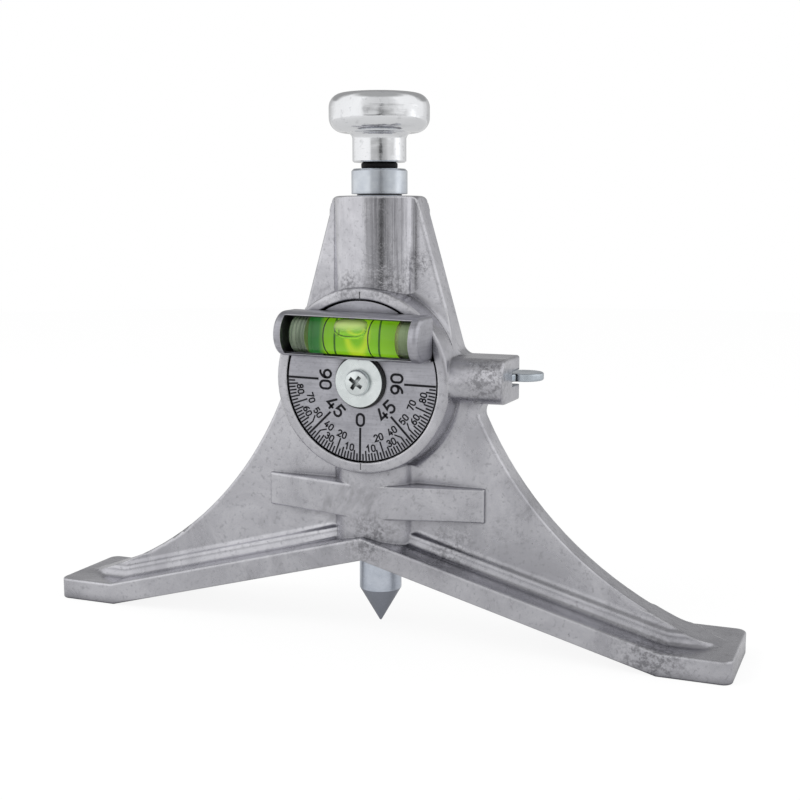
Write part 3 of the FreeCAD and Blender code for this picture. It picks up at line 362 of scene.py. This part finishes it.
def misty_plug():
    """Clear plugs that scatter a little light: the left grey-green, the right brown, then olive."""
    material, n = new_material("plug_acrylic", (0.5, 0.55, 0.45))
    x = n.axis("X")
    rings = n.noise(1.0, 3.0, 0.6, n.stretched((1600.0, 60.0, 60.0)))
    left = n.tint((0.12, 0.17, 0.11), rings, MIDDLE, 1.0, (0.35, 0.41, 0.31))
    right = n.mix(0.5, left, (0.36, 0.50, 0.20))
    beside = (FLUID_SPAN[1] + 1.4 * MM, FLUID_SPAN[1] + 0.4 * MM)
    right = n.tint(right, x, beside, 0.8, (0.20, 0.17, 0.03))
    tone = n.tint(left, x, (FLUID_SPAN[0], 0.0), 1.0, right)
    mist = n.add("ShaderNodeBsdfDiffuse", {"Color": tone})
    clear = n.add("ShaderNodeBsdfTransparent", {"Color": (0.85, 0.92, 0.80)})
    n.finish(n.blend(0.55, clear, mist))
    return material


def bubble_air():
    """The bubble: it bends light like a hollow in the liquid, and its top is painted white as a gleam of
    reflection.
    """
    material, n = new_material("bubble_air", (0.9, 0.95, 0.85))
    gleam = n.noise(1.0, 2.0, 0.5, n.stretched((120.0, 120.0, 700.0)))
    faint = n.ranged(gleam, 0.3, 0.7, 0.0, 0.03)
    hollow = n.principled(Base_Color=(0.93, 1.0, 0.90), Roughness=faint, IOR=0.80, Transmission_Weight=1.0)
    white = n.add("ShaderNodeBsdfDiffuse", {"Color": n.mix(gleam, (0.66, 0.66, 0.60), (0.95, 0.93, 0.92))})
    # painted reflection: the bubble's top turns white
    high = n.ranged(n.axis("Z"), VIAL_Z + GLEAM_SPAN[0], VIAL_Z + GLEAM_SPAN[1], 0.0, 0.75)
    n.finish(lit_through(n, n.blend(high, hollow, white), (0.96, 1.0, 0.92)))
    return material


def loop_glow(n, x, z):
    """Strength of the bright loop that the bubble throws on the liquid below it."""
    across = n.maths("MULTIPLY", n.maths("SUBTRACT", x, GLOW_PLACE[0]), GLOW_SHAPE)
    along = n.maths("SUBTRACT", z, GLOW_PLACE[1])
    away = n.maths("SQRT", n.maths("ADD", n.maths("POWER", across, 2.0), n.maths("POWER", along, 2.0)))
    band = n.maths("ABSOLUTE", n.maths("SUBTRACT", away, GLOW_RADIUS))
    low = n.ranged(along, *GLOW_TOP, 0.0, 1.0)
    return n.maths("MULTIPLY", low, n.ranged(band, *GLOW_WIDTH, 0.0, 0.95))


def green_liquid():
    """Yellow-green liquid: clear towards the viewer, with its dye's colour on the far wall of the bore and a
    painted bright loop of light under the bubble.
    """
    material, n = new_material("green_fluid", (0.4, 0.7, 0.08))
    x = n.axis("X")
    left, right = FLUID_SPAN
    tone = n.tint((0.36, 0.70, 0.06), n.noise(160.0, 2.0, 0.5), MIDDLE, 1.0, (0.50, 0.80, 0.07))
    tone = n.tint(tone, x, (left + 3.6 * MM, left + 2.0 * MM), 0.9, (0.05, 0.32, 0.24))
    tone = n.tint(tone, x, (right - 1.1 * MM, right - 0.4 * MM), 0.9, (0.30, 0.30, 0.07))
    for line_x in (-VIAL_LINE_X, VIAL_LINE_X):
        off = n.maths("ABSOLUTE", n.maths("SUBTRACT", x, line_x + FAR_LINE_SHIFT))
        tone = n.tint(tone, off, (0.30 * MM, 0.22 * MM), 0.85, (0.01, 0.07, 0.03))
    # painted highlight: the bright loop of light that the bubble throws on the liquid below it
    tone = n.mix(loop_glow(n, x, n.axis("Z")), tone, (0.92, 0.95, 0.12))
    dye = n.add("ShaderNodeBsdfDiffuse", {"Color": tone})
    clear = n.add("ShaderNodeBsdfTransparent", {"Color": (0.90, 0.985, 0.62)})
    behind = n.ranged(n.axis("Y"), VIAL_Y - FLUID_SKIN, VIAL_Y + FLUID_SKIN, 0.0, 1.0)
    n.finish(n.blend(behind, clear, dye))
    return material


CAST = cast_aluminium()
DIAL = machined_aluminium()
CHROME = chrome()
# painted shade: below its foot the collar is painted near black, for the shaded gap over the tower's top
COLLAR = steel(
    "collar_steel", (0.68, 0.72, 0.77), (0.58, 0.62, 0.68), 0.22, bevel=0.12, joint=2.4,
    tip=COLLAR_FOOT_Z, below=(0.04, 0.04, 0.045),
)
ZINC = steel(
    "zinc_plate", (0.88, 0.93, 0.93), (0.74, 0.79, 0.79), 0.30, ring=(900.0, 900.0, 900.0), bump=0.06,
    bevel=0.15, joint=2.2,
)
LEVER = steel(
    "zinc_sheet", (0.66, 0.72, 0.78), (0.50, 0.55, 0.60), 0.28, ring=(700.0, 700.0, 300.0), bump=0.1,
    bevel=0.4,
)
# below the cone's top the punch is darker: partly its ground finish, partly painted reflection of the shaded
# floor
PUNCH = steel("punch_steel", (0.74, 0.79, 0.88), (0.60, 0.65, 0.74), 0.24, tip=CONE_TOP_Z)
SPRING = steel("spring_steel", (0.40, 0.40, 0.42), (0.30, 0.30, 0.31), 0.35)
BRASS = steel("yellow_brass", (0.78, 0.58, 0.25), (0.62, 0.45, 0.18), 0.30)
RUBBER = matte("black_rubber", (0.004, 0.004, 0.005), 0.5, 900.0, gloss=0.15)
FIBRE = matte("black_fibre", (0.016, 0.016, 0.017), 0.7, 1300.0)
PAINT = matte("black_paint", (0.006, 0.006, 0.008), 0.6, 1100.0, gloss=0.2)
ACRYLIC = clear_glass("clear_acrylic", (0.97, 0.985, 0.96), 1.47)
PLUG = misty_plug()
AIR = bubble_air()
FLUID = green_liquid()

FINISHES = {
    "body_casting": CAST,
    "guide_collar": COLLAR,
    "bumper_ring": RUBBER,
    "punch": PUNCH,
    "strike_knob": CHROME,
    "spring_clip": SPRING,
    "return_spring": SPRING,
    "dial_casting": DIAL,
    "dial_scale": PAINT,
    "vial_tube": ACRYLIC,
    "vial_plugs": PLUG,
    "vial_lines": PAINT,
    "vial_fluid": FLUID,
    "pivot_screw": ZINC,
    "pivot_washer": ZINC,
    "friction_washer": FIBRE,
    "cone_washer": SPRING,
    "lock_lever": LEVER,
    "lever_pin": PUNCH,
    "lever_spacers": ZINC,
    "lock_shoe": BRASS,
}
for name, material in FINISHES.items():
    dress(nodes[name], material)


# Building in mesh code

def mesh_piece(name, bm, material, body):
    """Piece from a finished mesh, dressed, riding on a body and tied to a material slot."""
    mesh = bpy.data.meshes.new(name)
    bm.to_mesh(mesh)
    bm.free()
    piece = bpy.data.objects.new(name, mesh)
    bpy.context.scene.collection.objects.link(piece)
    dress(piece, material)
    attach(piece, body)
    return piece


def lathe_x(bm, profile, y, z, steps=96):
    """Closed surface turned about a line along X, from (x, radius) points; radius 0 closes an end."""
    rings = []
    for x, radius in profile:
        if radius == 0:
            rings.append([bm.verts.new((x, y, z))])
        else:
            rings.append([
                bm.verts.new((x, y + radius * math.cos(a), z + radius * math.sin(a)))
                for a in (2 * math.pi * k / steps for k in range(steps))
            ])
    for near, far in zip(rings, rings[1:]):
        for k in range(steps):
            j = (k + 1) % steps
            if len(near) == 1:
                bm.faces.new((near[0], far[j], far[k]))
            elif len(far) == 1:
                bm.faces.new((near[k], near[j], far[0]))
            else:
                bm.faces.new((near[k], near[j], far[j], far[k]))
    bmesh.ops.recalc_face_normals(bm, faces=bm.faces)
    for face in bm.faces:
        face.smooth = True


# Vial

TUBE_EDGE = 0.35 * MM
SHARP = math.radians(30)
BUBBLE_SPAN = (-4.2 * MM, 4.6 * MM)
BUBBLE_RADIUS = 1.9 * MM
BUBBLE_RISE = 1.5 * MM
BUBBLE_LENGTHWISE = 0.8  # below 1 the bubble's ends are blunter than an ellipse's
BUBBLE_CROSSWISE = 0.7
BUBBLE_STEPS = 24


def turned_dial(bm):
    """Turns a mesh about the dial's centre to where the dial stands at rest."""
    centre = Vector((0, 0, DIAL_Z))
    bmesh.ops.rotate(bm, cent=centre, matrix=Matrix.Rotation(math.radians(DIAL_TURN), 3, "Y"), verts=bm.verts)


def turned_piece(name, profile, material):
    """Piece of the vial turned about its axis, with sharp rims."""
    bm = bmesh.new()
    lathe_x(bm, profile, VIAL_Y, VIAL_Z)
    for edge in bm.edges:
        edge.smooth = edge.calc_face_angle(0.0) < SHARP
    turned_dial(bm)
    return mesh_piece(name, bm, material, "dial_body")


def bubble_profile():
    middle = (BUBBLE_SPAN[0] + BUBBLE_SPAN[1]) / 2
    half = (BUBBLE_SPAN[1] - BUBBLE_SPAN[0]) / 2
    profile = []
    for k in range(BUBBLE_STEPS + 1):
        turn = math.pi * k / BUBBLE_STEPS
        reach = half * math.copysign(abs(math.cos(turn)) ** BUBBLE_LENGTHWISE, math.cos(turn))
        radius = BUBBLE_RADIUS * math.sin(turn) ** BUBBLE_CROSSWISE if 0 < k < BUBBLE_STEPS else 0
        profile.append((middle - reach, radius))
    return profile


def vial():
    """Clear tube drawn as one solid rod, with the liquid and the bubble inside it."""
    left, right = TUBE_SPAN
    tube = turned_piece("vial_rod", [
        (left, 0), (left, VIAL_RADIUS - TUBE_EDGE), (left + TUBE_EDGE, VIAL_RADIUS),
        (right - TUBE_EDGE, VIAL_RADIUS), (right, VIAL_RADIUS - TUBE_EDGE), (right, 0),
    ], ACRYLIC)
    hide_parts("vial_tube")
    left, right = FLUID_SPAN
    liquid = turned_piece("vial_liquid", [
        (left, 0), (left, FLUID_RADIUS), (right, FLUID_RADIUS), (right, 0),
    ], FLUID)
    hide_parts("vial_fluid")
    bm = bmesh.new()
    lathe_x(bm, bubble_profile(), VIAL_Y, VIAL_Z + BUBBLE_RISE, steps=64)
    turned_dial(bm)
    mesh_piece("vial_bubble", bm, AIR, "dial_body")


vial()


# Return spring

SPRING_RADIUS = 4.5 * MM
SPRING_WIRE = 0.8 * MM
SPRING_TURNS = 6.5
TURN_STEPS = 48
WIRE_STEPS = 12


def coil_spring():
    """Round wire along a helix, over the height of the return spring."""
    low, high = (corner.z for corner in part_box("return_spring"))
    bm = bmesh.new()
    count = round(TURN_STEPS * SPRING_TURNS)
    rings = []
    for k in range(count + 1):
        turn = 2 * math.pi * SPRING_TURNS * k / count
        middle = low + SPRING_WIRE / 2 + (high - low - SPRING_WIRE) * k / count
        ring = []
        for j in range(WIRE_STEPS):
            around = 2 * math.pi * j / WIRE_STEPS
            reach = SPRING_RADIUS + SPRING_WIRE / 2 * math.cos(around)
            height = middle + SPRING_WIRE / 2 * math.sin(around)
            ring.append(bm.verts.new((reach * math.cos(turn), reach * math.sin(turn), height)))
        rings.append(ring)
    for near, far in zip(rings, rings[1:]):
        for j in range(WIRE_STEPS):
            i = (j + 1) % WIRE_STEPS
            bm.faces.new((near[j], near[i], far[i], far[j]))
    bm.faces.new(rings[0])
    bm.faces.new(rings[-1])
    bmesh.ops.recalc_face_normals(bm, faces=bm.faces)
    for face in bm.faces:
        face.smooth = len(face.verts) == 4
    spring = mesh_piece("coil_spring", bm, SPRING, "frame_body")
    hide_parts("return_spring")
    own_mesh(spring)


coil_spring()


# Numerals on the dial

SMALL_HEIGHT = 1.62 * MM
LARGE_HEIGHT = 3.0 * MM
SMALL_STROKE = 0.35 * MM
LARGE_STROKE = 0.58 * MM
SMALL_RING = 17.15 * MM
INNER_RING = 14.75 * MM
LARGE_RING = 9.8 * MM
LEADER_STROKE = 0.33 * MM
LEADER_START = 16.0 * MM
LEADER_BEND = 17.4 * MM
LEADERS = ((36.3, 40.0), (52.9, 50.0))  # degrees where each leader starts and of the graduation it meets
OUTER_VALUES = (10, 30, 60, 80)
INNER_VALUES = ((20, 20), (40, 36.2), (50, 53.5), (70, 70))  # value, and degrees where it stands
SMALL_WIDTH = 0.57
LARGE_WIDTH = 0.66
GLYPH_GAP = 0.28
ARC_STEPS = 10
CAP_STEPS = 6
MITRE = 0.35  # least cosine by which a bend may lengthen a stroke's corner


def curve(cx, cy, rx, ry, start, stop):
    """Points along part of an ellipse, in degrees anticlockwise from the right."""
    return [
        (cx + rx * math.cos(math.radians(a)), cy + ry * math.sin(math.radians(a)))
        for a in (start + (stop - start) * k / ARC_STEPS for k in range(ARC_STEPS + 1))
    ]


def glyphs(w):
    """Single-stroke digits in a box one high and w wide: each is a list of (points, closed)."""
    h = w / 2
    loop = 0.31
    oval = curve(h, 1 - h, h, h, 0, 180) + curve(h, h, h, h, 180, 360)
    six = curve(h, h, h, h, 0, 350)
    post = w * 0.74
    flag = [(w * 0.92, 1.0), (w * 0.14, 1.0), (w * 0.06, 0.52)]
    stem = [(w * 0.86, 1.0)] + curve(w * 1.25, h * 1.35, w * 1.25, 0.62, 118, 176)
    return {
        "0": [(oval, True)],
        "1": [([(w * 0.12, 0.76), (w * 0.55, 1.0), (w * 0.55, 0.0)], False)],
        "2": [(curve(h, 1 - h, h, h, 165, -28) + [(0.0, 0.0), (w, 0.0)], False)],
        "3": [(curve(h, 0.76, h * 0.92, 0.24, 150, -82) + curve(h, 0.27, h, 0.27, 84, -150), False)],
        "4": [([(w * 0.62, 1.0), (0.0, 0.24), (w, 0.24)], False), ([(post, 0.5), (post, 0.0)], False)],
        "5": [(flag + curve(h, loop, h, loop, 118, -140), False)],
        "6": [(six, True), (stem, False)],
        "7": [([(0.0, 1.0), (w, 1.0), (w * 0.36, 0.0)], False)],
        "8": [(curve(h, 0.76, h * 0.86, 0.24, 0, 350), True), (curve(h, 0.26, h, 0.26, 0, 350), True)],
        "9": [([(w - x, 1 - y) for x, y in six], True), ([(w - x, 1 - y) for x, y in stem], False)],
    }


def ribbon(bm, points, closed, half, place):
    """Flat stroke of constant width along a line of points, with round ends, set out by place(u, v)."""
    pts = [Vector(p) for p in points]
    count = len(pts)
    left, right = [], []
    for k, p in enumerate(pts):
        before = pts[k - 1] if k > 0 or closed else None
        after = pts[(k + 1) % count] if k < count - 1 or closed else None
        a = (p - before).normalized() if before is not None else (after - p).normalized()
        b = (after - p).normalized() if after is not None else a
        along = (a + b).normalized()
        side = Vector((-along.y, along.x))
        reach = half / max(MITRE, side.dot(Vector((-a.y, a.x))))
        left.append(bm.verts.new(place(p + side * reach)))
        right.append(bm.verts.new(place(p - side * reach)))
    for k in range(count if closed else count - 1):
        j = (k + 1) % count
        bm.faces.new((left[k], right[k], right[j], left[j]))
    if closed:
        return
    for tip, other, a, b in ((pts[0], pts[1], left[0], right[0]), (pts[-1], pts[-2], right[-1], left[-1])):
        out = (tip - other).normalized()
        side = Vector((-out.y, out.x))
        fan = []
        for k in range(1, CAP_STEPS):
            turn = math.pi * k / CAP_STEPS
            fan.append(bm.verts.new(place(tip - side * half * math.cos(turn) + out * half * math.sin(turn))))
        bm.faces.new([a, *fan, b])


def write(bm, text, ring, degrees, height, stroke, width):
    """Digits with their feet outwards, centred at an angle from the foot of the dial."""
    font = glyphs(width)
    turn = math.radians(degrees)
    up = Vector((-math.sin(turn), math.cos(turn)))
    across = Vector((math.cos(turn), math.sin(turn)))
    centre = Vector((ring * math.sin(turn), -ring * math.cos(turn)))
    advance = width + GLYPH_GAP
    start = -(advance * len(text) - GLYPH_GAP) / 2
    for index, digit in enumerate(text):
        def place(p, index=index):
            flat = centre + across * ((start + advance * index + p.x) * height) + up * ((p.y - 0.5) * height)
            return (flat.x, DIAL_FACE_Y, DIAL_Z + flat.y)
        for points, closed in font[digit]:
            ribbon(bm, points, closed, stroke / 2 / height, place)


def leader(bm, start, end):
    """Straight stroke from a figure to its graduation."""
    def place(p):
        return (p.x, DIAL_FACE_Y, DIAL_Z + p.y)
    ribbon(bm, [start, end], False, LEADER_STROKE / 2, place)


def on_dial(ring, degrees):
    """Place on the dial at an angle from its foot."""
    turn = math.radians(degrees)
    return (ring * math.sin(turn), -ring * math.cos(turn))


def numerals():
    """Painted figures of the scale and the leaders that tie two of them to their graduations."""
    bm = bmesh.new()
    large = (LARGE_HEIGHT, LARGE_STROKE, LARGE_WIDTH)
    small = (SMALL_HEIGHT, SMALL_STROKE, SMALL_WIDTH)
    write(bm, "0", LARGE_RING, 0, *large)
    for side in (-1, 1):
        write(bm, "45", LARGE_RING, side * 45, *large)
        write(bm, "90", LARGE_RING, side * 90, *large)
        for value in OUTER_VALUES:
            write(bm, str(value), SMALL_RING, side * value, *small)
        for value, angle in INNER_VALUES:
            write(bm, str(value), INNER_RING, side * angle, *small)
        for start, end in LEADERS:
            leader(bm, on_dial(LEADER_START, side * start), on_dial(LEADER_BEND, side * end))
    turned_dial(bm)
    bmesh.ops.recalc_face_normals(bm, faces=bm.faces)
    for face in bm.faces:
        if face.normal.y > 0:
            face.normal_flip()
    piece = mesh_piece("dial_numerals", bm, PAINT, "dial_body")
    thick = piece.modifiers.new("thickness", "SOLIDIFY")
    thick.thickness = INK
    thick.offset = 1.0


numerals()


# Camera

camera_data = bpy.data.cameras.new("camera")
camera_data.sensor_width = SENSOR_WIDTH
camera_data.lens = LENS
camera_data.shift_y = SHIFT_Y
camera_data.clip_start = 0.01
camera_data.clip_end = 100.0
camera = bpy.data.objects.new("camera", camera_data)
camera.location = CAMERA_PLACE
yaw = Matrix.Rotation(math.radians(CAMERA_YAW), 4, "Z")
pitch = Matrix.Rotation(math.radians(90 - CAMERA_PITCH), 4, "X")
roll = Matrix.Rotation(math.radians(CAMERA_ROLL), 4, "Z")
camera.rotation_euler = (yaw @ pitch @ roll).to_euler()
bpy.context.scene.collection.objects.link(camera)
bpy.context.scene.camera = camera


# Studio

# Level of the tent round the part, at degrees to the right of the camera
LENS_BAND = (
    (-180, 0.50), (-150, 0.62), (-125, 0.92), (-60, 1.0), (-40, 0.95), (-34, 0.52), (-10, 0.46), (-1, 0.30),
    (3, 0.05), (10, 0.05), (14, 0.33), (30, 0.50), (40, 0.66), (62, 0.68), (72, 1.0), (80, 1.25), (94, 1.2),
    (108, 0.85), (125, 0.75), (150, 0.60), (180, 0.50),
)
UPPER_BAND = (
    (-180, 0.46), (-145, 0.55), (-115, 0.92), (-45, 1.0), (-34, 0.76), (8, 0.66), (28, 0.72), (48, 0.97),
    (115, 0.92), (145, 0.55), (180, 0.46),
)
BAND_TOP = 0.062  # steepness where the lower band passes into the upper one
BAND_FADE = 0.02
BACK_SLANT = (0.30, 0.55)  # how far a direction leans back and up where the tent turns dim behind the part
BACK_RISE = (0.2, 0.4)
BACK_LEVEL = 0.34
OVERHEAD = (0.80, 0.93)  # how steeply a direction rises where the tent turns dim overhead
OVERHEAD_LEVEL = 0.40
PLAIN_LEVEL = 0.92
WHITE = (1.0, 1.0, 1.0)


def ramp_of(n, around, stops):
    """Grey level by direction, from (degrees, level) stops."""
    ramp = n.add("ShaderNodeValToRGB", {"Fac": around})
    cells = ramp.color_ramp.elements
    while len(cells) < len(stops):
        cells.new(0.5)
    for cell, (degrees, level) in zip(cells, stops):
        cell.position = degrees / 360 + 0.5
        cell.color = (level, level, level, 1.0)
    return ramp.outputs["Color"]


def world_light():
    """Pale tent: plain for soft light, and in reflections dimmer in front and behind, with a dark lens."""
    world = bpy.data.worlds.new("studio")
    world.use_nodes = True
    bpy.context.scene.world = world
    n = Nodes(world.node_tree)
    direction = n.add("ShaderNodeTexCoord").outputs["Generated"]
    turned = n.add("ShaderNodeMapping", {"Vector": direction, "Rotation": (0, 0, math.radians(-CAMERA_YAW))})
    right, back, rise = n.add("ShaderNodeSeparateXYZ", {"Vector": turned.outputs["Vector"]}).outputs
    angle = n.maths("ARCTAN2", right, n.maths("MULTIPLY", back, -1.0))
    around = n.ranged(angle, -math.pi, math.pi, 0.0, 1.0)
    height = n.ranged(rise, BAND_TOP, BAND_TOP + BAND_FADE, 0.0, 1.0)
    tent = n.mix(height, ramp_of(n, around, LENS_BAND), ramp_of(n, around, UPPER_BAND))
    leaning = n.maths("MULTIPLY", back, n.ranged(rise, *BACK_RISE, 0.0, 1.0))
    tent = n.tint(tent, leaning, BACK_SLANT, 1.0, (BACK_LEVEL,) * 3)
    tent = n.tint(tent, rise, OVERHEAD, 1.0, (OVERHEAD_LEVEL,) * 3)
    plain = n.mix(n.ray("Is Camera Ray", "Is Transmission Ray"), (PLAIN_LEVEL,) * 3, WHITE)
    colour = n.mix(n.ray("Is Glossy Ray"), plain, tent)
    out = n.add("ShaderNodeOutputWorld")
    back = n.add("ShaderNodeBackground", {"Color": colour, "Strength": 1.0})
    world.node_tree.links.new(back.outputs[0], out.inputs["Surface"])


FLOOR_RADIUS = 1.2
FLOOR_WHITE = 0.9
FLOOR_IN_METAL = (0.25, 0.65)  # how white metal mirrors it, near the part and at its rim
FLOOR_NEAR = 0.3
PAPER_SEEN = 0.95
PAPER = 0.46  # how much of the lamps' light the floor throws back up at the part
FLOOR_STEPS = 128


def floor():
    """Plain white round floor that keeps a faint shadow."""
    bm = bmesh.new()
    bmesh.ops.create_circle(bm, cap_ends=True, segments=FLOOR_STEPS, radius=FLOOR_RADIUS)
    mesh = bpy.data.meshes.new("floor")
    bm.to_mesh(mesh)
    bm.free()
    piece = bpy.data.objects.new("floor", mesh)
    bpy.context.scene.collection.objects.link(piece)
    material, n = new_material("floor_white", (0.9, 0.9, 0.9))
    seen = n.ray("Is Camera Ray", "Is Transmission Ray")
    paper = n.add("ShaderNodeBsdfDiffuse", {"Color": n.mix(seen, (PAPER,) * 3, (PAPER_SEEN,) * 3)})
    white = n.add("ShaderNodeEmission", {"Color": WHITE, "Strength": 1.0})
    mirrored = n.ranged(n.length(n.place()), FLOOR_NEAR, FLOOR_RADIUS, *FLOOR_IN_METAL)
    seen = n.maths("MAXIMUM", seen, n.maths("MULTIPLY", n.ray("Is Glossy Ray"), mirrored))
    n.finish(n.blend(n.maths("MULTIPLY", seen, FLOOR_WHITE), paper, white))
    dress(piece, material)


LAMP_TARGET = (0, 0, 0.05)


def lamp(name, place, size, power):
    """Soft rectangular lamp aimed at the part, which metal doesn't mirror."""
    data = bpy.data.lights.new(name, "AREA")
    data.shape = "RECTANGLE"
    data.size, data.size_y = size
    data.energy = power
    piece = bpy.data.objects.new(name, data)
    piece.location = place
    piece.rotation_euler = (Vector(LAMP_TARGET) - Vector(place)).to_track_quat("-Z", "Y").to_euler()
    piece.visible_glossy = False
    bpy.context.scene.collection.objects.link(piece)


world_light()
floor()
lamp("key", (-0.55, -0.55, 0.75), size=(0.5, 0.5), power=4.0)
lamp("fill", (0.75, -0.25, 0.45), size=(0.4, 0.6), power=1.6)

bpy.context.scene.view_settings.view_transform = "Standard"
